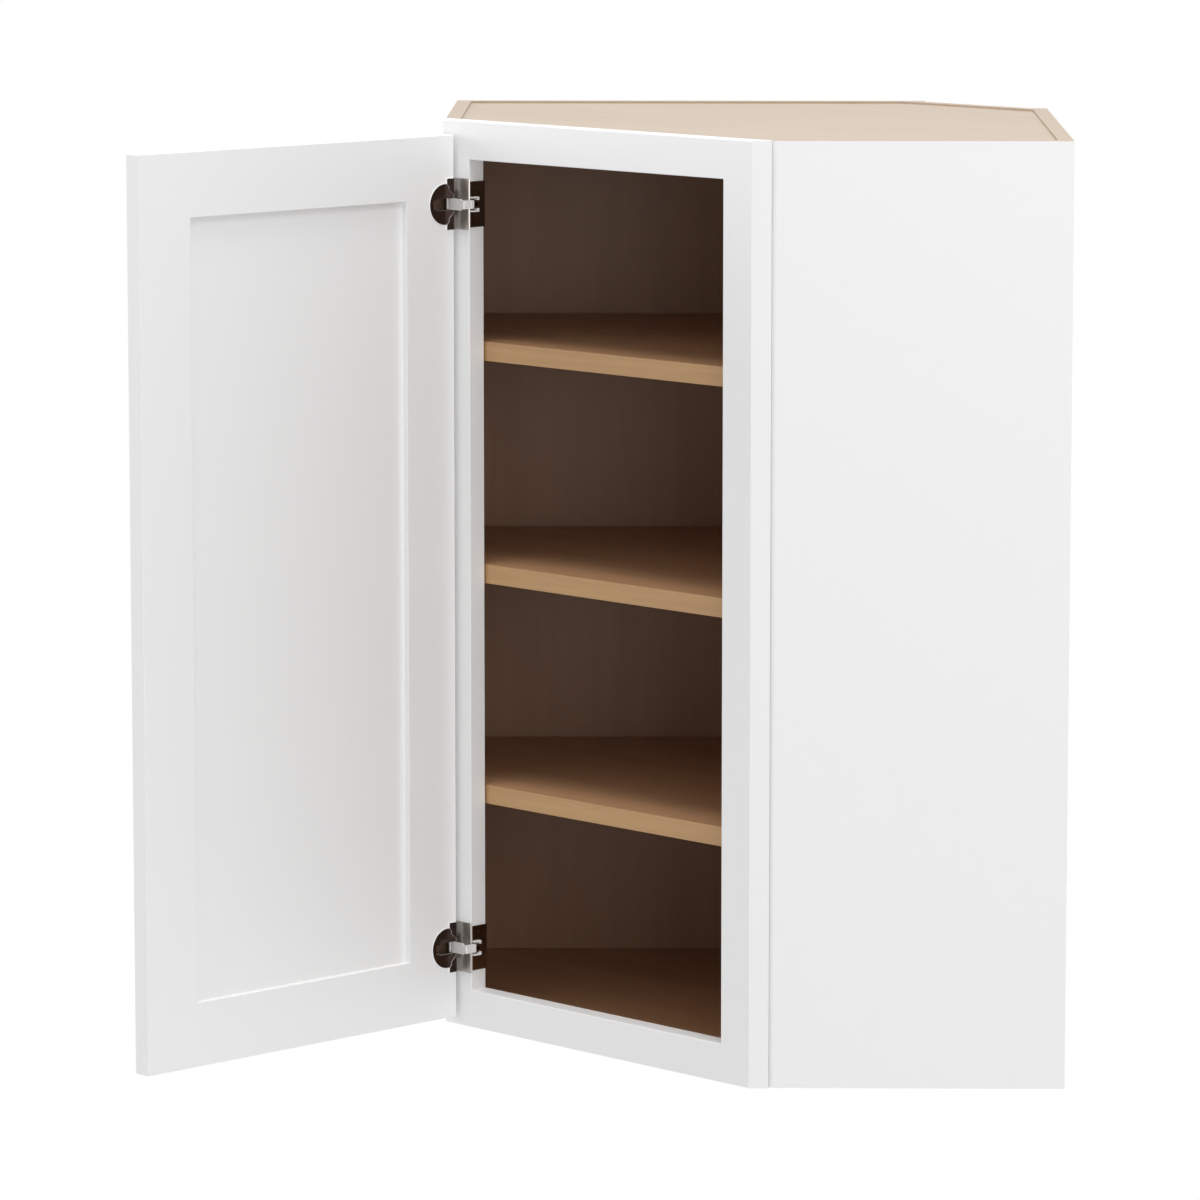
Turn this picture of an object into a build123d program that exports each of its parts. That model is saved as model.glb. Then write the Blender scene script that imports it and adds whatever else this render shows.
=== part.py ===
from build123d import *
import os
from math import sqrt

# Corner wall cabinet. A plywood box fills the corner of a room, a painted face frame stands
# diagonally across its front, and one shaker door hangs on two single-pin cup hinges.
# Millimetres, +Z up, the front faces -Y, +X is to the right of someone facing the front.
# The origin is on the outer face of the corner panel, on the middle line, at the underside.
# The door is modelled open at a right angle to the front.

# ---- carcass
height = 914.4
wall_run = 609.6          # room corner to the bevelled end of the face frame, along each wall
side_depth = 304.8        # wall to the front corner of the face frame
panel = 15.0              # plywood of the sides, backs, corner, top and bottom
frame_overhang = 2.4      # the frame's bevelled ends stand this far proud of the side panels
side_ease_radius = 5.5    # a side panel's outer face is rounded down to the frame on this radius
side_ease_width = 5.0     # over this much of its width
corner_clip = 120.65      # room corner to the square end of each back panel
top_drop = 2.0            # the top panel lies this far below the upper edges
bottom_lift = 3.0         # the bottom panel lies this far above the lower edges
dado_depth = 5.0          # the top and bottom are let into the sides and backs this deep

# ---- face frame
frame_thick = 19.05
stile_width = 38.1
rail_width = 38.1
bevel_width = 19.05       # the flat at each end of the frame, parallel to its side panel
frame_ease = 0.8          # rounding of the frame's front edges
tenon_length = 9.5
tenon_thick = 6.35
tenon_shoulder = 6.0      # shoulder above and below a tenon
mortise_room = 0.5        # glue room past the end of a tenon

# ---- shelves and their pins
shelf_thick = 19.05
shelf_undersides = (226.8, 450.8, 674.8)
shelf_names = ("lower", "middle", "upper")
shelf_side_gap = 2.0
shelf_back_gap = 7.5
shelf_setback = 2.3       # front edge of a shelf behind the frame's back face
band_thick = 0.8          # edge band along a shelf's front
hole_pitch = 32.0
hole_radius = 2.5
hole_depth = 10.0
spare_holes = 3           # holes above the top shelf's row and below the bottom shelf's
row_from_wall = (50.0, 250.0)   # hole rows in a side panel, measured from the wall
row_from_middle = 45.0    # hole rows in the corner panel, from its middle line
pin_play = 0.02
pin_seat = 9.0            # pin inside its hole
pin_reach = 10.0          # pin standing out of the panel
pin_head_radius = 3.5
pin_flat = 2.0            # flat top of the pin's head above its axis

# ---- door
door_overlay = 25.4       # the closed door covers this much of each stile
door_low = 9.3            # lower edge of the door above the underside of the frame
door_top_reveal = 13.8    # frame left bare above the door
door_thick = 19.05
door_gap = 3.0            # between the frame and the closed door
door_member = 63.5        # width of the door's stiles and rails
door_ease = 0.9           # rounding of the door's outer edges
recess_ease = 0.7         # rounding round the sunk panel
groove_depth = 9.5
centre_panel = 6.35       # thickness of the sunk panel
panel_play = 1.0          # between the sunk panel's edge and the bottom of its groove

# ---- hinges
hinge_from_end = {"lower": 71.7, "upper": 68.6}   # from the door's lower and upper edges
pin_from_edge = 3.2       # hinge pin, from the door's hinge edge
pin_in_door = 4.7         # hinge pin, below the door's inner face
hinge_pin_radius = 1.25
running_play = 0.05
bore_radius = 17.6        # bore for a 35 mm cup
bore_depth = 11.6
cup_from_edge = 12.5      # middle of the cup, from the door's hinge edge
cup_play = 0.1
cup_wall = 0.7
cover_radius = 20.2       # disc that closes the cup and rests on the door round it
cover_thick = 0.7
slot_play = 0.3           # round the arm, in the cover's slot
leaf_half = 25.5          # half the leaf's length, along the door's edge
leaf_width = 10.2
leaf_lip = 0.3            # leaf past the door's hinge edge
leaf_thick = 1.2
leaf_bevel = 0.9          # along the lip, which passes close to the frame plate
# cut-out of the leaf for the arm: how far in from the door's edge, and half its height there
funnel = ((1.1, 8.9), (7.2, 14.2), (7.5, 17.8), (10.2, 20.3))
leaf_screw_spot = (4.4, 21.0)
plate_thick = 1.0
plate_bend = 2.0          # outer radius where the frame plate turns round the stile
plate_wing = 22.0         # frame plate on the frame's front, from the stile's inner edge
plate_edge_half = 22.75   # half the frame plate's height on the stile's inner edge
plate_past_back = 1.2     # frame plate past the stile's back
plate_screw_height = 17.0
arm_play = 0.1            # between the arm and the frame plate
arm_thick = 1.2
arm_lead = 0.3            # the arm's strap runs this far in front of the pin's axis
arm_eye_radius = 2.15
arm_half_height = 5.6
arm_leg_half_height = 4.3
arm_pad_thick = 1.6       # thicker part of the arm against the stile's inner edge
arm_pad_end = 4.2         # end of that part, behind the frame's front
arm_tongue_end = 8.4      # end of the arm, behind the frame's front
arm_wide_end = 4.4        # the strap narrows this far before its bend
arm_bend = 0.6            # rounding outside the bend
guide_start = 0.6
guide_end = 10.4
guide_room = 1.9
guide_thick = 1.2
guide_rise = 2.7
guide_lip = 3.4
spring_wire = 0.35        # radius of the closing spring's wire
spring_play = 0.3
spring_pitch = 1.2
spring_turns = 4
screw_radius = 1.5
screw_head_radius = 3.0
screw_head_height = 1.2
frame_screw_length = 22.0
door_screw_length = 13.0
clamp_head_radius = 1.8
clamp_head_height = 1.1
clamp_shank_radius = 1.0
clamp_length = 8.0
drive_width = 0.9         # cross recess in a screw head
drive_depth = 0.7

# ---- places that follow from the sizes
root2 = sqrt(2)
corner_y = (corner_clip + panel) / root2          # the room corner, behind the corner panel
front_sum = side_depth + wall_run                 # the two wall distances, summed, on the front
back_sum = front_sum - frame_thick * root2        # the same on the frame's back face
front_half = (wall_run - side_depth) / root2      # half the width of the frame's front
front_y = corner_y - front_sum / root2
frame_back_y = front_y + frame_thick
opening_half = front_half - stile_width
side_outer = wall_run - frame_overhang
side_inner = side_outer - panel
bevel_stop = side_depth - bevel_width
corner_inner_sum = corner_clip + panel + panel * root2
top_high = height - top_drop
bottom_high = bottom_lift + panel

door_reveal = stile_width - door_overlay          # frame left bare beside the door
door_width = 2 * (front_half - door_reveal)
door_high = height - door_top_reveal
hinge_heights = {"lower": door_low + hinge_from_end["lower"],
                 "upper": door_high - hinge_from_end["upper"]}
pivot_u = door_reveal + pin_from_edge             # u runs along the front from its left corner
pivot_v = door_gap + pin_in_door                  # v stands out from the front
inner_u = pivot_u + pin_in_door                   # inner face of the open door
edge_v = pivot_v - pin_from_edge                  # hinge edge of the open door
door_x = inner_u - front_half
door_y = front_y - edge_v
arm_inner_u = stile_width + plate_thick + arm_play
arm_outer_u = arm_inner_u + arm_thick


def plan(off_right, off_left):
    """A spot in plan, from its distances to the right and the left wall."""
    return (off_left - off_right) / root2, corner_y - (off_right + off_left) / root2


def slab(spots, low, high):
    outline = Polyline(*[(x, y, low) for x, y in spots], close=True)
    return extrude(make_face(outline), amount=high - low, dir=(0, 0, 1))


def block(x, y, z):
    """A box from three (low, high) pairs."""
    middle = [(low + high) / 2 for low, high in (x, y, z)]
    return Pos(*middle) * Box(x[1] - x[0], y[1] - y[0], z[1] - z[0])


def rod(start, direction, radius, length):
    base = Cylinder(radius, length, align=(Align.CENTER, Align.CENTER, Align.MIN))
    return Plane(origin=start, z_dir=direction) * base


def mirrored(shape):
    return mirror(shape, about=Plane.YZ)


def symmetric(spots):
    """Right-hand spots, from back to front, followed by their mirror images."""
    return spots + [(-x, y) for x, y in reversed(spots)]


def upright_edges(shape, x, y):
    """The shape's edges along Z that stand over this spot."""
    def stands_there(edge):
        spot = edge.center()
        return abs(spot.X - x) < 0.01 and abs(spot.Y - y) < 0.01

    return shape.edges().filter_by(Axis.Z).filter_by(stands_there)


def save(shape, node):
    export_step(shape, f"parts/{node}.step")


# ---- carcass

def pin_seats():
    """Start and inward direction of each row of shelf pin holes, on the panels' inner faces."""
    seats = []
    for off_wall in row_from_wall:
        x, y = plan(off_wall, side_inner)
        seats.append(((x, y), (1, -1, 0)))
        seats.append(((-x, y), (-1, -1, 0)))
    for side in (-1, 1):
        seats.append(((side * row_from_middle, -panel), (0, 1, 0)))
    return seats


def hole_heights():
    low = shelf_undersides[0] - pin_flat - spare_holes * hole_pitch
    high = shelf_undersides[-1] - pin_flat + spare_holes * hole_pitch
    count = round((high - low) / hole_pitch) + 1
    return [low + index * hole_pitch for index in range(count)]


def drill_rows(shape, seats):
    holes = [rod((x, y, z), way, hole_radius, hole_depth)
             for (x, y), way in seats for z in hole_heights()]
    return shape - holes


def side_ease():
    """What is rounded off the right side panel's outer face along the frame."""
    start = bevel_stop - side_ease_width
    off_side = side_outer - side_ease_radius
    strip = slab([plan(start, side_outer + 1), plan(bevel_stop + 1, side_outer + 1),
                  plan(bevel_stop + 1, off_side), plan(start, off_side)], -1, height + 1)
    x, y = plan(start, off_side)
    return strip - rod((x, y, -2), (0, 0, 1), side_ease_radius, height + 4)


def side_panel():
    outline = [plan(0, side_outer), plan(bevel_stop, side_outer),
               plan(bevel_stop, back_sum - bevel_stop),
               plan(back_sum - side_inner, side_inner), plan(0, side_inner)]
    right_seats = [seat for seat in pin_seats() if seat[1][0] > 0]
    return drill_rows(slab(outline, 0, height) - side_ease(), right_seats)


def back_panel():
    outline = [plan(0, corner_clip), plan(0, side_inner),
               plan(panel, side_inner), plan(panel, corner_clip)]
    return slab(outline, 0, height)


def corner_panel():
    outline = [plan(panel, corner_clip), plan(panel, corner_inner_sum - panel)]
    corner_seats = [seat for seat in pin_seats() if seat[1][0] == 0]
    return drill_rows(slab(symmetric(outline), 0, height), corner_seats)


def deck_outline(side_gap, back_gap, front_gap):
    """The box's inside in plan, drawn in by a gap at the sides, the back and the front."""
    off_side = side_inner - side_gap
    off_back = panel + back_gap
    front = back_sum - front_gap * root2
    corner = corner_inner_sum + back_gap * root2
    return symmetric([plan(off_back, corner - off_back), plan(off_back, off_side),
                      plan(front - off_side, off_side)])


def deck(low, high):
    return slab(deck_outline(-dado_depth, -dado_depth, 0), low, high)


# ---- shelves

def shelf(low):
    whole = slab(deck_outline(shelf_side_gap, shelf_back_gap, shelf_setback),
                 low, low + shelf_thick)
    band_back = frame_back_y + shelf_setback + band_thick
    reach = wall_run
    band_space = block((-reach, reach), (band_back - reach, band_back), (low - 1, low + reach))
    return whole - band_space, whole & band_space


def shelf_pins(low):
    axis_z = low - pin_flat
    pins = []
    for (x, y), way in pin_seats():
        back_way = tuple(-part for part in way)
        head = rod((x, y, axis_z), back_way, pin_head_radius, pin_reach)
        clear = 3 * pin_reach
        head -= block((x - clear, x + clear), (y - clear, y + clear), (low, low + clear))
        pins.append(head + rod((x, y, axis_z), way, hole_radius - pin_play, pin_seat))
    return Compound(children=pins)


# ---- face frame

def on_front(edge):
    return abs(edge.center().Y - front_y) < 0.01


def frame_blank():
    right = [plan(bevel_stop, back_sum - bevel_stop), plan(bevel_stop, wall_run),
             plan(side_depth, wall_run)]
    blank = slab(symmetric(right), 0, height)
    blank -= block((-opening_half, opening_half), (front_y - 1, frame_back_y + 1),
                   (rail_width, height - rail_width))
    return fillet(blank.edges().filter_by(on_front), frame_ease)


def rail_tenons(low, grow):
    """The two tenons of a frame rail whose lower edge is at this height."""
    middle = front_y + frame_thick / 2
    depth = (middle - tenon_thick / 2, middle + tenon_thick / 2)
    tall = (low + tenon_shoulder, low + rail_width - tenon_shoulder)
    far = opening_half + tenon_length + grow
    return [block((opening_half, far), depth, tall), block((-far, -opening_half), depth, tall)]


def frame_parts():
    blank = frame_blank()
    reach = wall_run
    across = (front_y - reach, reach)
    rail_lows = {"bottom": 0, "top": height - rail_width}
    mortises = [box for low in rail_lows.values() for box in rail_tenons(low, mortise_room)]
    stile = blank & block((opening_half, reach), across, (-1, height + 1))
    parts = {"frame_stile_right": stile - mortises,
             "frame_stile_left": mirrored(stile) - mortises}
    for name, low in rail_lows.items():
        middle = block((-opening_half, opening_half), across, (low - 1, low + rail_width + 1))
        rail = blank & middle
        for tenon in rail_tenons(low, 0):
            rail += tenon
        parts[f"frame_rail_{name}"] = rail
    return parts


# ---- door, in its own measures: s from the hinge edge, d below the inner face, z up

def door_block(s, d, z):
    return block((door_x - d[1], door_x - d[0]), (door_y - s[1], door_y - s[0]), z)


def door_spot(s, d, z):
    return door_x - d, door_y - s, z


def door_ring():
    ring = door_block((0, door_width), (0, door_thick), (door_low, door_high))
    outer_edges = ring.edges()
    ring = fillet(outer_edges, door_ease)
    window = door_block((door_member, door_width - door_member), (-1, door_thick + 1),
                        (door_low + door_member, door_high - door_member))
    ring -= window
    faces = (door_x, door_x - door_thick)
    inside = door_member + 1

    def round_window(edge):
        spot = edge.center()
        on_face = min(abs(spot.X - face) for face in faces) < 0.01
        within_width = abs(spot.Y - (door_y - door_width / 2)) < door_width / 2 - inside + 2
        within_height = door_low + inside - 2 < spot.Z < door_high - inside + 2
        return on_face and within_width and within_height

    return fillet(ring.edges().filter_by(round_window), recess_ease)


def door_grooves():
    """The groove that holds the sunk panel, run right through the stiles."""
    side = (door_thick - centre_panel) / 2
    depth = (side, side + centre_panel)
    left = door_member - groove_depth
    right = door_width - left
    low = door_low + left
    high = door_high - left
    grooves = [door_block((left, right), depth, (low, high))]
    grooves.append(door_block((left, door_member), depth, (door_low - 1, door_high + 1)))
    grooves.append(door_block((door_width - door_member, right), depth,
                              (door_low - 1, door_high + 1)))
    return grooves


def door_parts():
    ring = door_ring()
    grooves = door_grooves()
    whole_depth = (-1, door_thick + 1)
    tall = (door_low - 1, door_high + 1)
    far = door_width - door_member
    side = (door_thick - centre_panel) / 2
    depth = (side, side + centre_panel)
    stiles = {"hinge": (-1, door_member), "free": (far, door_width + 1)}
    parts = {}
    for name, reach in stiles.items():
        parts[f"door_stile_{name}"] = (ring & door_block(reach, whole_depth, tall)) - grooves
    rails = {"bottom": (door_low, door_low + door_member), "top": (door_high - door_member, door_high)}
    for name, (low, high) in rails.items():
        rail = (ring & door_block((door_member, far), whole_depth, (low - 1, high + 1))) - grooves[0]
        tongue_low = low if name == "bottom" else low + groove_depth
        tongue_high = high - groove_depth if name == "bottom" else high
        edge_room = door_ease
        tongue = (tongue_low + (edge_room if name == "bottom" else 0),
                  tongue_high - (edge_room if name == "top" else 0))
        rail += door_block((door_member - groove_depth, door_member), depth, tongue)
        rail += door_block((far, far + groove_depth), depth, tongue)
        parts[f"door_rail_{name}"] = rail
    reach = groove_depth - panel_play
    parts["door_panel"] = door_block((door_member - reach, far + reach), depth,
                                     (door_low + door_member - reach,
                                      door_high - door_member + reach))
    return parts


# ---- hinges

def wood_screw(start, direction, length):
    """A countersunk screw whose flat head is flush at its start."""
    profile = Polyline((0, 0), (screw_head_radius, 0), (screw_radius, screw_head_height),
                       (screw_radius, length - 2 * screw_radius), (0, length), close=True)
    body = revolve(Plane.XZ * make_face(profile), Axis.Z)
    for turn in (0, 90):
        slot = Box(3 * drive_width, drive_width, 2 * drive_depth)
        body -= Rot(0, 0, turn) * slot
    return Plane(origin=start, z_dir=direction) * body


def screw_hole(start, direction, length):
    profile = Polyline((0, 0), (screw_head_radius, 0), (screw_radius, screw_head_height),
                       (screw_radius, length), (0, length), close=True)
    return Plane(origin=start, z_dir=direction) * revolve(Plane.XZ * make_face(profile), Axis.Z)


def leaf_screws(centre):
    spots = [door_spot(leaf_screw_spot[0], -leaf_thick, centre + side * leaf_screw_spot[1])
             for side in (-1, 1)]
    return [(spot, (-1, 0, 0), door_screw_length) for spot in spots]


def plate_face_x():
    return plate_thick - opening_half


def plate_screws(centre):
    middle = front_y + frame_thick / 2
    spots = [(plate_face_x(), middle, centre + side * plate_screw_height) for side in (-1, 1)]
    return [(spot, (-1, 0, 0), frame_screw_length) for spot in spots]


def clamp_spot(centre):
    """Where the clamp screw meets the outer face of the arm's tongue."""
    behind = (arm_pad_end + arm_tongue_end) / 2
    return plate_face_x() + arm_play + arm_thick, front_y + behind, centre


def cup_bore(centre):
    return rod(door_spot(cup_from_edge, 0, centre), (-1, 0, 0), bore_radius, bore_depth)


def leaf_outline(centre):
    upper = [(funnel[0][0], 0.0)] + list(funnel)
    upper += [(leaf_width, leaf_half), (-leaf_lip, leaf_half)]
    lower = [(s, -z) for s, z in reversed(upper)]
    spots = upper + lower[:-1]
    return [door_spot(s, 0, centre + z) for s, z in spots]


def leaf_blank(centre):
    face = make_face(Polyline(*leaf_outline(centre), close=True))
    return extrude(face, amount=leaf_thick, dir=(1, 0, 0))


def hinge_leaf(centre):
    leaf = leaf_blank(centre)
    leaf = chamfer(upright_edges(leaf, door_x + leaf_thick, door_y + leaf_lip), leaf_bevel)
    return leaf - [screw_hole(*screw) for screw in leaf_screws(centre)]


def cup_disc(centre, way, radius, thick, edge):
    """A disc on the cup's axis from the door's inner face, cut off straight near the door's edge."""
    far = 2 * radius
    disc = rod(door_spot(cup_from_edge, 0, centre), (way, 0, 0), radius, thick)
    return disc - door_block((-far, edge), (-far, far), (centre - far, centre + far))


def hinge_cup(centre):
    radius = bore_radius - cup_play
    depth = bore_depth - cup_play
    cup = cup_disc(centre, -1, radius, depth, cup_play)
    cup -= cup_disc(centre, -1, radius - cup_wall, depth - cup_wall, cup_play + cup_wall)
    return cup - rod(door_spot(pin_from_edge, pin_in_door, centre - radius), (0, 0, 1),
                     hinge_pin_radius + pin_play, 2 * radius)


def hinge_cover(centre):
    """The disc on the cup, slotted for all that the arm sweeps between open and closed."""
    far = 2 * cover_radius
    cover = cup_disc(centre, 1, cover_radius, cover_thick, cup_play) - leaf_blank(centre)
    slots = ((arm_half_height, arm_outer_u - arm_wide_end), (arm_leg_half_height, arm_outer_u))
    for half, reach in slots:
        end = pin_from_edge + reach - pivot_u + slot_play
        cover -= door_block((-far, end), (-far, far),
                            (centre - half - slot_play, centre + half + slot_play))
    return cover.solids().sort_by(SortBy.VOLUME)[-1]


def pin_half_length():
    off_middle = cup_from_edge - pin_from_edge + hinge_pin_radius
    return sqrt((bore_radius - cup_play) ** 2 - off_middle ** 2) - cup_play


def hinge_pin(centre):
    half = pin_half_length()
    return rod(door_spot(pin_from_edge, pin_in_door, centre - half), (0, 0, 1),
               hinge_pin_radius, 2 * half)


def spring_coil(low):
    """One half of the closing spring, wound round the pin from this height up."""
    coil_radius = hinge_pin_radius + spring_play + spring_wire
    path = Helix(pitch=spring_pitch, height=spring_turns * spring_pitch, radius=coil_radius)
    wire = Plane(origin=path @ 0, z_dir=path % 0) * Circle(spring_wire)
    coil = sweep(wire, path=path, is_frenet=True)
    x, y, _ = door_spot(pin_from_edge, pin_in_door, 0)
    return Pos(x, y, low + spring_wire) * coil


def hinge_spring(centre):
    start = arm_half_height + spring_play
    length = spring_turns * spring_pitch + 2 * spring_wire
    return Compound(children=[spring_coil(centre + start), spring_coil(centre - start - length)])


def front_spot(u, v):
    return u - front_half, front_y - v


def tall_slab(spots, centre, half):
    return slab([front_spot(u, v) for u, v in spots], centre - half, centre + half)


def hinge_arm(centre):
    low = pivot_v + arm_lead
    high = low + arm_thick
    inner, outer = arm_inner_u, arm_outer_u
    arm = tall_slab([(pivot_u, low), (outer - arm_wide_end, low), (outer - arm_wide_end, high),
                     (pivot_u, high)], centre, arm_half_height)
    arm += tall_slab([(pivot_u, low), (inner, low), (inner, -arm_tongue_end),
                      (outer, -arm_tongue_end), (outer, high), (pivot_u, high)],
                     centre, arm_leg_half_height)
    arm = fillet(upright_edges(arm, *front_spot(outer, high)), arm_bend)
    pad = inner + arm_pad_thick
    arm += tall_slab([(inner, -plate_thick), (pad, -plate_thick), (pad, -arm_pad_end),
                      (inner, -arm_pad_end)], centre, arm_leg_half_height)
    x, y = front_spot(pivot_u, pivot_v)
    base = (x, y, centre - arm_half_height)
    arm += rod(base, (0, 0, 1), arm_eye_radius, 2 * arm_half_height)
    arm -= rod(base, (0, 0, 1), hinge_pin_radius + running_play, 2 * arm_half_height)
    x, y, z = clamp_spot(centre)
    return arm - rod((x + arm_thick, y, z), (-1, 0, 0), clamp_shank_radius + pin_play,
                     3 * arm_thick)


def hinge_plate(centre):
    """The plate that wraps the stile."""
    edge = stile_width
    face = edge + plate_thick
    back = -(frame_thick + plate_past_back)
    start = edge - plate_wing
    plate = tall_slab([(start, 0), (face, 0), (face, plate_thick), (start, plate_thick)],
                      centre, leaf_half)
    plate += tall_slab([(edge, plate_thick), (edge, back), (face, back), (face, plate_thick)],
                       centre, plate_edge_half)
    plate = fillet(upright_edges(plate, *front_spot(face, plate_thick)), plate_bend)
    x, y, z = clamp_spot(centre)
    plate -= rod((x, y, z), (-1, 0, 0), clamp_shank_radius + pin_play, 3 * arm_thick)
    return plate - [screw_hole(*screw) for screw in plate_screws(centre)]


def hinge_guides(centre):
    """The two hooks on the frame plate, one above and one below the arm's tongue."""
    x = (plate_face_x(), plate_face_x() + guide_rise)
    inside = arm_leg_half_height + guide_room
    outside = inside + guide_thick
    guides = []
    for side in (-1, 1):
        wall = sorted((centre + side * inside, centre + side * outside))
        hook = sorted((centre + side * (outside - guide_lip), centre + side * outside))
        guide = block(x, (front_y + guide_start, front_y + guide_end), wall)
        guide += block(x, (front_y + guide_end - guide_thick, front_y + guide_end), hook)
        guides.append(guide)
    return Compound(children=guides)


def clamp_screw(centre):
    x, y, z = clamp_spot(centre)
    head = rod((x, y, z), (1, 0, 0), clamp_head_radius, clamp_head_height)
    slot = block((x + clamp_head_height - drive_depth, x + 2 * clamp_head_height),
                 (y - clamp_head_radius, y + clamp_head_radius),
                 (z - drive_width / 3, z + drive_width / 3))
    return head - slot + rod((x, y, z), (-1, 0, 0), clamp_shank_radius, clamp_length)


def clamp_hole(centre):
    x, y, z = clamp_spot(centre)
    return rod((x, y, z), (-1, 0, 0), clamp_shank_radius + pin_play, clamp_length + 1)


def build():
    os.makedirs("parts", exist_ok=True)
    side = side_panel()
    back = back_panel()
    decks = {"bottom_panel": deck(bottom_lift, bottom_high),
             "top_panel": deck(top_high - panel, top_high)}
    panels = {"side_right": side, "side_left": mirrored(side),
              "back_right": back, "back_left": mirrored(back), "corner_back": corner_panel()}
    for node, shape in panels.items():
        save(shape - list(decks.values()), node)
    for node, shape in decks.items():
        save(shape, node)

    for name, low in zip(shelf_names, shelf_undersides):
        board, band = shelf(low)
        save(board, f"shelf_{name}")
        save(band, f"shelf_{name}_edge_band")
        save(shelf_pins(low), f"shelf_{name}_pins")

    frame = frame_parts()
    door = door_parts()
    for name, centre in hinge_heights.items():
        frame["frame_stile_left"] -= [screw_hole(*screw) for screw in plate_screws(centre)]
        frame["frame_stile_left"] -= clamp_hole(centre)
        door["door_stile_hinge"] -= [screw_hole(*screw) for screw in leaf_screws(centre)]
        door["door_stile_hinge"] -= cup_bore(centre)
        save(hinge_cup(centre), f"hinge_{name}_cup")
        save(hinge_cover(centre), f"hinge_{name}_cover")
        save(hinge_leaf(centre), f"hinge_{name}_leaf")
        save(hinge_pin(centre), f"hinge_{name}_pin")
        save(hinge_spring(centre), f"hinge_{name}_spring")
        save(hinge_arm(centre), f"hinge_{name}_arm")
        save(hinge_plate(centre), f"hinge_{name}_plate")
        save(hinge_guides(centre), f"hinge_{name}_guides")
        save(clamp_screw(centre), f"hinge_{name}_clamp_screw")
        screws = {"leaf": leaf_screws(centre), "plate": plate_screws(centre)}
        for part, spots in screws.items():
            group = Compound(children=[wood_screw(*spot) for spot in spots])
            save(group, f"hinge_{name}_{part}_screws")
    for node, shape in {**frame, **door}.items():
        save(shape, node)


build()
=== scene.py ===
import bpy
import math
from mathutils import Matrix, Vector


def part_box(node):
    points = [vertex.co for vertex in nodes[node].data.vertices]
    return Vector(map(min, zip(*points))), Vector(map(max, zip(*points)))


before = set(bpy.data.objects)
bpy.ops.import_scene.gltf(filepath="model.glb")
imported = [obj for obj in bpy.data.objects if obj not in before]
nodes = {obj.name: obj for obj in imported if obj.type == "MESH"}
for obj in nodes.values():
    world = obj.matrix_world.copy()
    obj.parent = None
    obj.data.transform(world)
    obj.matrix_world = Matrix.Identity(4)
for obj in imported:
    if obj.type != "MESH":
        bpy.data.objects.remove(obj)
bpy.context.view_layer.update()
print("frame loaded:", len(nodes), "nodes")

mm = 0.001
diagonal = math.sqrt(0.5)    # the sides and the wall panels stand at 45 degrees to the front


def linear(hexColour):
    # sRGB hex to the linear colour that sockets take
    parts = [int(hexColour[i:i + 2], 16) / 255 for i in (1, 3, 5)]
    return [c / 12.92 if c <= 0.04045 else ((c + 0.055) / 1.055) ** 2.4 for c in parts] + [1.0]


def addNode(owner, kind, inputs=None, **settings):
    # owner: a material or a world
    # inputs: socket name or number -> a value, or another node's output socket
    node = owner.node_tree.nodes.new(kind)
    for name, value in settings.items():
        setattr(node, name, value)
    for key, value in (inputs or {}).items():
        if isinstance(value, bpy.types.NodeSocket):
            link(owner, value, node.inputs[key])
        else:
            node.inputs[key].default_value = value
    return node


def link(owner, output, target):
    owner.node_tree.links.new(output, target)


def newMaterial(name, **shaderValues):
    material = bpy.data.materials.new(name)
    material.use_nodes = True
    shader = material.node_tree.nodes["Principled BSDF"]
    for key, value in shaderValues.items():
        shader.inputs[key].default_value = value
    return material, shader


def setRamp(ramp, stops):
    # stops: (place, hex colour) from low to high
    elements = ramp.color_ramp.elements
    while len(elements) < len(stops):
        elements.new(0.5)    # anywhere, because each is put in its place below
    for element, (place, colour) in zip(elements, stops):
        element.position = place
        element.color = linear(colour)


# White catalysed lacquer over sanded maple: even and satin, a trace of orange peel from the gun
lacquer = {
    "colour": "#F1F1F1",
    "roughness": 0.36,
    "ior": 1.5,
    "peelSize": 2.6,       # mm between the ripples, drawn coarse enough to show
    "peelHeight": 0.012,   # mm
    "peelDetail": 1.5,
    "peelRoughness": 0.5,
    "bumpStrength": 0.6,
}


def makeLacquer():
    s = lacquer
    material, shader = newMaterial("whiteLacquer", Roughness=s["roughness"], IOR=s["ior"])
    shader.inputs["Base Color"].default_value = linear(s["colour"])
    spot = addNode(material, "ShaderNodeTexCoord")
    peel = addNode(material, "ShaderNodeTexNoise", {
        "Vector": spot.outputs["Object"], "Scale": 1 / (s["peelSize"] * mm),
        "Detail": s["peelDetail"], "Roughness": s["peelRoughness"]})
    bump = addNode(material, "ShaderNodeBump", {
        "Height": peel.outputs["Fac"], "Strength": s["bumpStrength"], "Distance": s["peelHeight"] * mm})
    link(material, bump.outputs["Normal"], shader.inputs["Normal"])
    return material


# Clear-coated maple veneer of the shelves and decks: warm tan, fine straight pores, soft wide figure
veneer = {
    "stops": [(0.20, "#A67D5B"), (0.50, "#B38965"), (0.80, "#BF9471")],
    "roughness": 0.42,
    "ior": 1.5,
    "poreWidth": 0.9,        # mm, across the grain, drawn coarser than real so that it shows
    "poreLength": 38.0,      # mm, along the grain
    "poreHeight": 0.02,      # mm
    "poreDetail": 3.0,
    "poreWander": 0.1,       # how far the pores stray from straight
    "figureWidth": 24.0,     # mm
    "figureLength": 420.0,   # mm
    "figureDetail": 2.0,
    "figureWander": 0.5,
    "figureShare": 0.62,     # of the colour's change, the rest comes from the pores
    "grainRoughness": 0.6,
    "bumpStrength": 0.5,
}
# The walls' veneer is the shelves' maple drawn darker and redder, as painted shade for the walls deep
# inside the cabinet
wallVeneerShaded = dict(veneer, stops=[(0.20, "#90694A"), (0.50, "#9B7353"), (0.80, "#A67D5D")])
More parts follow.
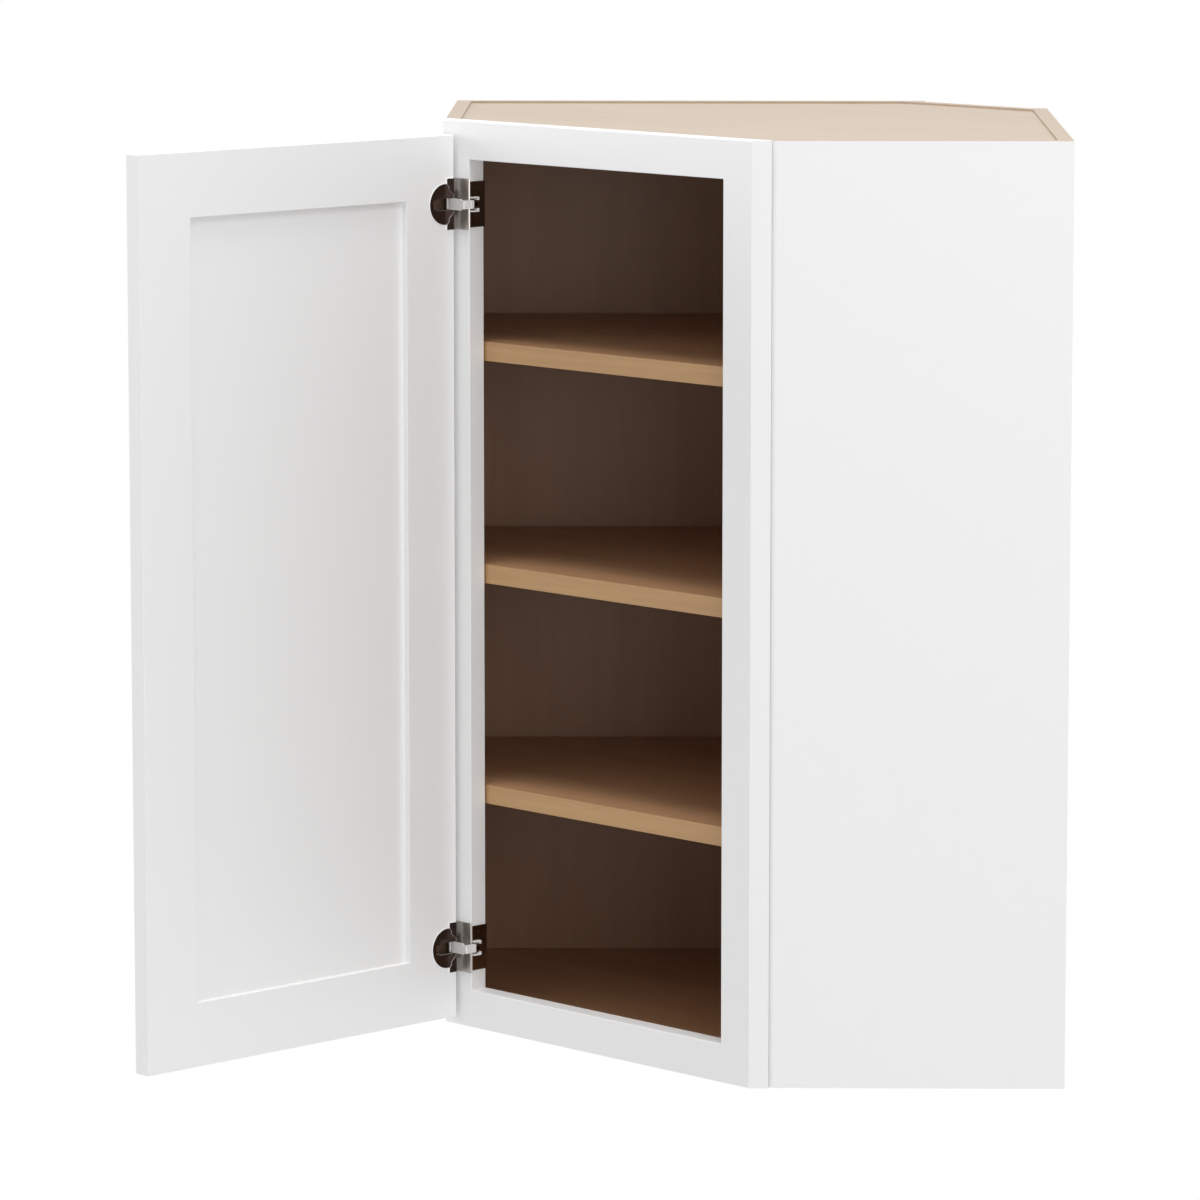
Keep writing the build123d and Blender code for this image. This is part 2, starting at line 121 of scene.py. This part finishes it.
# Raw sanded plywood: the same wood without a finish, paler and dull
rawWood = dict(veneer, stops=[(0.20, "#B2A18F"), (0.50, "#BAAA9A"), (0.80, "#C0B2A2")],
               roughness=0.62, poreHeight=0.03)
# On the hidden backs the same sheets are drawn paler, as painted light for faces that get little light,
# with a bolder figure
rawBackPaintedLight = dict(rawWood, stops=[(0.28, "#CBB596"), (0.50, "#DDCBB1"), (0.72, "#EADCC8")],
               figureWidth=36.0)
# The strips of the side and wall panels that stand above the top panel are raw,
# and drawn darker as painted shade along their joint with the top panel
rawStripShaded = dict(rawWood, stops=[(0.20, "#A8927C"), (0.50, "#B29E89"), (0.80, "#BBA791")])
# Edge band of the shelves: sliced maple, clear-coated, the grain along the edge
edgeBand = dict(veneer, stops=[(0.20, "#AA845B"), (0.50, "#B89165"), (0.80, "#C49E71")],
                figureWidth=8.0, roughness=0.45)


def makeWood(name, s, along):
    # along: the axis, 0 to 2, that the grain runs along
    material, shader = newMaterial(name, Roughness=s["roughness"], IOR=s["ior"])
    spot = addNode(material, "ShaderNodeTexCoord")

    def grain(kind):
        # kind: pore or figure
        scale = [1 / (s[kind + "Width"] * mm)] * 3
        scale[along] = 1 / (s[kind + "Length"] * mm)
        place = addNode(material, "ShaderNodeMapping", {"Vector": spot.outputs["Object"], "Scale": scale})
        return addNode(material, "ShaderNodeTexNoise", {
            "Vector": place.outputs["Vector"], "Scale": 1.0, "Detail": s[kind + "Detail"],
            "Roughness": s["grainRoughness"], "Distortion": s[kind + "Wander"]})

    pores = grain("pore")
    figure = grain("figure")
    both = addNode(material, "ShaderNodeMix", {
        0: s["figureShare"], 2: pores.outputs["Fac"], 3: figure.outputs["Fac"]}, data_type="FLOAT")
    ramp = addNode(material, "ShaderNodeValToRGB", {"Fac": both.outputs[0]})
    setRamp(ramp, s["stops"])
    link(material, ramp.outputs["Color"], shader.inputs["Base Color"])
    bump = addNode(material, "ShaderNodeBump", {
        "Height": pores.outputs["Fac"], "Strength": s["bumpStrength"], "Distance": s["poreHeight"] * mm})
    link(material, bump.outputs["Normal"], shader.inputs["Normal"])
    return material


# Plywood edge: thin plies, light ones with the grain along the edge and dark ones across it
plyEdge = {
    "stops": [(0.25, "#B4A391"), (0.75, "#BDAE9D")],
    "roughness": 0.65,
    "plyThickness": 1.5,   # mm
    "plySwing": 0.35,      # how far a ply goes up or down the ramp from the level
    "level": 0.25,
    "fleckSize": 3.0,      # mm
    "fleckDetail": 2.0,
    "fleckShare": 0.5,
}


def makePlyEdge(name, direction):
    # direction: across the plies, in the frame's axes
    s = plyEdge
    material, shader = newMaterial(name, Roughness=s["roughness"])
    spot = addNode(material, "ShaderNodeTexCoord")
    across = addNode(material, "ShaderNodeVectorMath", {
        0: spot.outputs["Object"], 1: direction}, operation="DOT_PRODUCT")
    turns = addNode(material, "ShaderNodeMath", {
        0: across.outputs["Value"], 1: math.pi / (s["plyThickness"] * mm)}, operation="MULTIPLY")
    wave = addNode(material, "ShaderNodeMath", {0: turns.outputs[0]}, operation="SINE")
    fleck = addNode(material, "ShaderNodeTexNoise", {
        "Vector": spot.outputs["Object"], "Scale": 1 / (s["fleckSize"] * mm), "Detail": s["fleckDetail"]})
    plies = addNode(material, "ShaderNodeMath", {
        0: wave.outputs[0], 1: s["plySwing"], 2: s["level"]}, operation="MULTIPLY_ADD")
    mixed = addNode(material, "ShaderNodeMath", {
        0: fleck.outputs["Fac"], 1: s["fleckShare"], 2: plies.outputs[0]}, operation="MULTIPLY_ADD")
    ramp = addNode(material, "ShaderNodeValToRGB", {"Fac": mixed.outputs[0]})
    setRamp(ramp, s["stops"])
    link(material, ramp.outputs["Color"], shader.inputs["Base Color"])
    return material


# Nickel plate over stamped steel: close to a mirror, a little warm, faint die lines
nickel = {
    "colour": "#B9B2AC",
    "metallic": 1.0,
    "roughness": 0.10,
    "lineWidth": 0.5,         # mm
    "lineLength": 14.0,       # mm, upright
    "lineDepth": 0.3,         # part of the roughness that the lines take away or add
    "lineDetail": 2.0,
    "lineSpan": (0.3, 0.7),   # the noise that gives the least and the most roughness
}
# The same plate where it was rubbed down: a soft grey sheen, no picture in it
rubbedNickel = dict(nickel, colour="#C4C0BC", roughness=0.36, lineDepth=0.06)
# Black nickel on the leaf and the dark screws: a dark mirror, its dark colour a painted reflection of the
# shaded cabinet inside
darkReflectionNickel = dict(nickel, colour="#3A302C", roughness=0.14, lineDepth=0.1)
# Smoked nickel on the cup's cover: browner, and less of a mirror; its dark colour is a painted reflection
# on the cover, and painted shade on the plate's screws
darkReflectionAndShadeNickel = dict(darkReflectionNickel, colour="#423128", metallic=0.5)
# Inside of the cup, and the pin: drawn steel, dull, drawn dark brown as painted shade in the hollow
cupSteelShaded = dict(nickel, colour="#6E5849", metallic=0.5, roughness=0.5)
# Die-cast zinc of the arm and the guides under a bright satin plate: pale, almost without reflections
castZinc = dict(nickel, colour="#FBFAF9", metallic=0.15, roughness=0.40, lineWidth=0.8,
                lineLength=3.0, lineDepth=0.15)
# The faces of the arm that look to the front, along its strap, are drawn a shade greyer: painted shade on
# the side that gets less light
strapZincShaded = dict(castZinc, colour="#E4E1DE")
# Zinc-plated steel of the shelf pins: duller and cooler than the nickel
zincSteel = dict(nickel, colour="#BFBFBE", roughness=0.26, lineWidth=0.3, lineLength=2.0)
# Spring wire: drawn steel, dark as painted shade in the hollow of the cup
springWireShaded = dict(nickel, colour="#6F6B67", roughness=0.30, lineWidth=0.2, lineLength=0.6)


def makeMetal(name, s):
    material, shader = newMaterial(name, Metallic=s["metallic"], Roughness=s["roughness"])
    shader.inputs["Base Color"].default_value = linear(s["colour"])
    spot = addNode(material, "ShaderNodeTexCoord")
    across = 1 / (s["lineWidth"] * mm)
    place = addNode(material, "ShaderNodeMapping", {
        "Vector": spot.outputs["Object"], "Scale": (across, across, 1 / (s["lineLength"] * mm))})
    lines = addNode(material, "ShaderNodeTexNoise", {
        "Vector": place.outputs["Vector"], "Scale": 1.0, "Detail": s["lineDetail"]})
    low, high = s["lineSpan"]
    rough = addNode(material, "ShaderNodeMapRange", {
        "Value": lines.outputs["Fac"], "From Min": low, "From Max": high,
        "To Min": s["roughness"] * (1 - s["lineDepth"]), "To Max": s["roughness"] * (1 + s["lineDepth"])})
    link(material, rough.outputs["Result"], shader.inputs["Roughness"])
    return material


whiteLacquer = makeLacquer()
# the walls' veneer carries painted shade
shadedVeneerUpright = makeWood("shadedMapleVeneerUpright", wallVeneerShaded, 2)
veneerFlat = makeWood("mapleVeneerFlat", veneer, 0)
# the raw backs carry painted light
paintedLightRawUpright = makeWood("rawPlywoodUprightPaintedLight", rawBackPaintedLight, 2)
rawFlat = makeWood("rawPlywoodFlat", rawWood, 0)
# the strips take the raw wood with painted shade
shadedRawStanding = makeWood("rawPlywoodStripShaded", rawStripShaded, 2)
bandWood = makeWood("mapleEdgeBand", edgeBand, 0)
plyRight = makePlyEdge("plyEdgeRight", (diagonal, diagonal, 0))
plyLeft = makePlyEdge("plyEdgeLeft", (diagonal, -diagonal, 0))
plyDeep = makePlyEdge("plyEdgeDeep", (0, 1, 0))
plyFlat = makePlyEdge("plyEdgeFlat", (0, 0, 1))
nickelPlate = makeMetal("nickelPlate", nickel)
satinPlate = makeMetal("rubbedNickelPlate", rubbedNickel)
# dark colour painted as a reflection of the shaded inside
darkReflectionPlate = makeMetal("darkReflectionNickelPlate", darkReflectionNickel)
# dark colour painted as a reflection on the cover and as shade on the plate's screws
darkReflectionAndShadePlate = makeMetal("darkReflectionAndShadeNickelPlate", darkReflectionAndShadeNickel)
# dark brown painted as shade in the cup's hollow
shadedDullSteel = makeMetal("shadedDullCupSteel", cupSteelShaded)
satinZinc = makeMetal("satinCastZinc", castZinc)
# greyer zinc: painted shade
shadedRolledZinc = makeMetal("shadedSatinRolledZinc", strapZincShaded)
zincPlate = makeMetal("zincPlate", zincSteel)
# dark painted as shade in the cup's hollow
shadedSpringSteel = makeMetal("shadedSpringSteel", springWireShaded)
print("materials made:", len(bpy.data.materials))

# How faces are told apart, by the cosine of the angle between a face's normal and a direction
facing = {
    "flat": 0.98,      # least, for a face that looks in the direction
    "eased": 0.4,      # least, on a side panel's rounded edge: it turns away by up to 66 degrees
    "upright": 0.5,    # most, from straight up or down, for an upright face
}


def dress(name, base, *faces):
    # faces: (direction, material) for the faces that look that way; the rest take the base
    mesh = nodes[name].data
    mesh.materials.clear()
    for material in [base] + [m for _, m in faces]:
        mesh.materials.append(material)
    for face in mesh.polygons:
        face.material_index = 0
        for index, (direction, _) in enumerate(faces, 1):
            if face.normal.dot(Vector(direction)) > facing["flat"]:
                face.material_index = index


def retouch(name, material, chosen):
    # chosen: says of a face whether it takes this material instead
    mesh = nodes[name].data
    mesh.materials.append(material)
    for face in mesh.polygons:
        if chosen(face):
            face.material_index = len(mesh.materials) - 1


right, front, back, up, down = (1, 0, 0), (0, -1, 0), (0, 1, 0), (0, 0, 1), (0, 0, -1)
inward = {"right": (-diagonal, diagonal, 0), "left": (diagonal, diagonal, 0)}
outward = {"right": (diagonal, -diagonal, 0), "left": (-diagonal, -diagonal, 0)}
wallward = {"right": (diagonal, diagonal, 0), "left": (-diagonal, diagonal, 0)}
roomward = {"right": (-diagonal, -diagonal, 0), "left": (diagonal, -diagonal, 0)}
sidePly = {"right": plyLeft, "left": plyRight}
backPly = {"right": plyRight, "left": plyLeft}

# the inner faces of the sides and backs take the veneer with painted shade
for hand in ("right", "left"):
    dress(f"side_{hand}", sidePly[hand], (outward[hand], whiteLacquer), (inward[hand], shadedVeneerUpright))
    dress(f"back_{hand}", backPly[hand], (wallward[hand], paintedLightRawUpright), (roomward[hand], shadedVeneerUpright))
    # the rounded edge along the frame is painted too
    retouch(f"side_{hand}", whiteLacquer,
            lambda face: face.normal.dot(Vector(outward[hand])) > facing["eased"])
dress("corner_back", plyDeep, (back, paintedLightRawUpright), (front, shadedVeneerUpright))
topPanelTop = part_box("top_panel")[1][2]
# the strips above the top panel take the darker raw wood: painted shade along the joint
for name in ("side_right", "side_left", "back_right", "back_left", "corner_back"):
    retouch(name, shadedRawStanding,
            lambda face: face.center.z > topPanelTop and abs(face.normal.z) < facing["upright"]
            and nodes[name].data.materials[face.material_index] == shadedVeneerUpright)
dress("top_panel", plyFlat, (up, rawFlat), (down, veneerFlat))
dress("bottom_panel", plyFlat, (up, veneerFlat), (down, rawFlat))
for name in ("upper", "middle", "lower"):
    dress(f"shelf_{name}", plyFlat, (up, veneerFlat), (down, veneerFlat))
    dress(f"shelf_{name}_edge_band", bandWood)
    dress(f"shelf_{name}_pins", zincPlate)
for name in nodes:
    if name.startswith(("frame_", "door_")):
        dress(name, whiteLacquer)

hinge = {
    # the cup, pin and spring finishes carry painted shade for the hollow
    "finishes": {"cup": shadedDullSteel, "pin": shadedDullSteel, "spring": shadedSpringSteel, "guides": satinZinc,
                 "clamp_screw": darkReflectionPlate, "leaf_screws": darkReflectionPlate},
    "polishFrom": 4.2,     # mm behind the front of the frame, from where the arm is polished
}
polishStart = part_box("frame_stile_left")[0][1] + hinge["polishFrom"] * mm
for name in ("lower", "upper"):
    for part, finish in hinge["finishes"].items():
        dress(f"hinge_{name}_{part}", finish)
    # the cover's and the leaf's faces to the right carry a painted dark reflection of the shaded inside,
    # and their pale zinc edges a painted highlight
    dress(f"hinge_{name}_cover", satinZinc, (right, darkReflectionAndShadePlate))
    dress(f"hinge_{name}_leaf", satinZinc, (right, darkReflectionPlate))
    dress(f"hinge_{name}_plate", nickelPlate, (front, satinPlate))
    # the screws in the plate are plated like it, and drawn dark as painted shade down in the recesses of
    # their heads
    dress(f"hinge_{name}_plate_screws", darkReflectionAndShadePlate, (right, nickelPlate))
    # the front faces of the arm take the greyer zinc, painted shade
    dress(f"hinge_{name}_arm", satinZinc, (front, shadedRolledZinc))
    retouch(f"hinge_{name}_arm", nickelPlate, lambda face: face.center.y > polishStart)
print("nodes dressed")

# Plain white room, with a pale floor well below the hung cabinet
studio = {
    "floorDrop": 1.37,       # m from the cabinet's underside to the floor, as it hangs in a kitchen
    "floorSize": 5.0,        # m
    "floorFade": (1.3, 2.45),    # m from the middle, where the floor begins to fade and where it ends
    "floorColour": "#F4F4F4",
    "floorRoughness": 0.9,
    "worldLight": 0.57,
    "whiteStrength": 1.0,    # at which the room and the faded floor show as white
    "lampRound": (0, -0.5, 0.45),    # m, near the middle of the cabinet, where the lamps point
    "lampReach": 5.0,        # m from there
    "lampSize": 2.4,         # m across
    # name, degrees round from +X, degrees above level, watts
    "lamps": (
        ("rightLamp", -10, 50, 49),
        ("leftLamp", -150, 15, 64),
        ("openingLamp", -28, 8, 36),
        ("topLamp", -60, 80, 127),
    ),
}


def makeWorld():
    world = bpy.data.worlds.new("whiteRoom")
    bpy.context.scene.world = world
    world.use_nodes = True
    background = world.node_tree.nodes["Background"]
    background.inputs["Color"].default_value = (1, 1, 1, 1)
    path = addNode(world, "ShaderNodeLightPath")
    seen = addNode(world, "ShaderNodeMath", {
        0: path.outputs["Is Camera Ray"], 1: path.outputs["Is Glossy Ray"]}, operation="MAXIMUM")
    shown = addNode(world, "ShaderNodeMath", {
        0: seen.outputs[0], 1: path.outputs["Is Transmission Ray"]}, operation="MAXIMUM")
    strength = addNode(world, "ShaderNodeMapRange", {
        "Value": shown.outputs[0], "To Min": studio["worldLight"], "To Max": studio["whiteStrength"]})
    link(world, strength.outputs["Result"], background.inputs["Strength"])


def makeFloor():
    bpy.ops.mesh.primitive_plane_add(size=studio["floorSize"], location=(0, 0, -studio["floorDrop"]))
    floor = bpy.context.object
    floor.name = "floor"
    material, shader = newMaterial("paleFloor", Roughness=studio["floorRoughness"])
    shader.inputs["Base Color"].default_value = linear(studio["floorColour"])
    spot = addNode(material, "ShaderNodeTexCoord")
    reach = addNode(material, "ShaderNodeVectorMath", {0: spot.outputs["Object"]}, operation="LENGTH")
    fadeStart, fadeEnd = studio["floorFade"]
    fade = addNode(material, "ShaderNodeMapRange", {
        "Value": reach.outputs["Value"], "From Min": fadeStart, "From Max": fadeEnd},
        interpolation_type="SMOOTHSTEP")
    path = addNode(material, "ShaderNodeLightPath")
    seen = addNode(material, "ShaderNodeMath", {
        0: fade.outputs["Result"], 1: path.outputs["Is Camera Ray"]}, operation="MULTIPLY")
    white = addNode(material, "ShaderNodeEmission", {"Strength": studio["whiteStrength"]})
    faded = addNode(material, "ShaderNodeMixShader", {
        0: seen.outputs[0], 1: shader.outputs["BSDF"], 2: white.outputs["Emission"]})
    link(material, faded.outputs["Shader"], material.node_tree.nodes["Material Output"].inputs["Surface"])
    floor.data.materials.append(material)


def aim(stand, place, ahead):
    # ahead: the unit vector that the lamp or camera looks along
    bpy.context.scene.collection.objects.link(stand)
    stand.location = place
    stand.rotation_mode = "QUATERNION"
    stand.rotation_quaternion = ahead.to_track_quat("-Z", "Y")


def heading(turn, height):
    # unit vector from degrees round from +X and degrees above level
    turn, height = math.radians(turn), math.radians(height)
    return Vector((math.cos(height) * math.cos(turn), math.cos(height) * math.sin(turn),
                   math.sin(height)))


def addLamp(name, turn, height, watts):
    lamp = bpy.data.lights.new(name, "AREA")
    lamp.shape = "DISK"
    lamp.size = studio["lampSize"]
    lamp.energy = watts
    out = heading(turn, height)
    aim(bpy.data.objects.new(name, lamp), Vector(studio["lampRound"]) + studio["lampReach"] * out, -out)


makeWorld()
makeFloor()
for lampSettings in studio["lamps"]:
    addLamp(*lampSettings)
print("stage set")

# Camera, fitted to the photograph's edges
shot = {
    "place": (4.34811, -4.74482, 1.32017),    # m
    "yaw": 135.972,      # degrees round from +X
    "pitch": -8.158,     # degrees above level
    "lens": 186.87,      # mm
    "sensor": 36,        # mm
    "clip": (0.1, 60),   # m, nearest and farthest
}


def makeCamera():
    camera = bpy.data.cameras.new("camera")
    camera.lens = shot["lens"]
    camera.sensor_width = shot["sensor"]
    camera.clip_start, camera.clip_end = shot["clip"]
    stand = bpy.data.objects.new("camera", camera)
    aim(stand, shot["place"], heading(shot["yaw"], shot["pitch"]))
    bpy.context.scene.camera = stand


makeCamera()
bpy.context.scene.view_settings.view_transform = "Standard"
print("camera set")
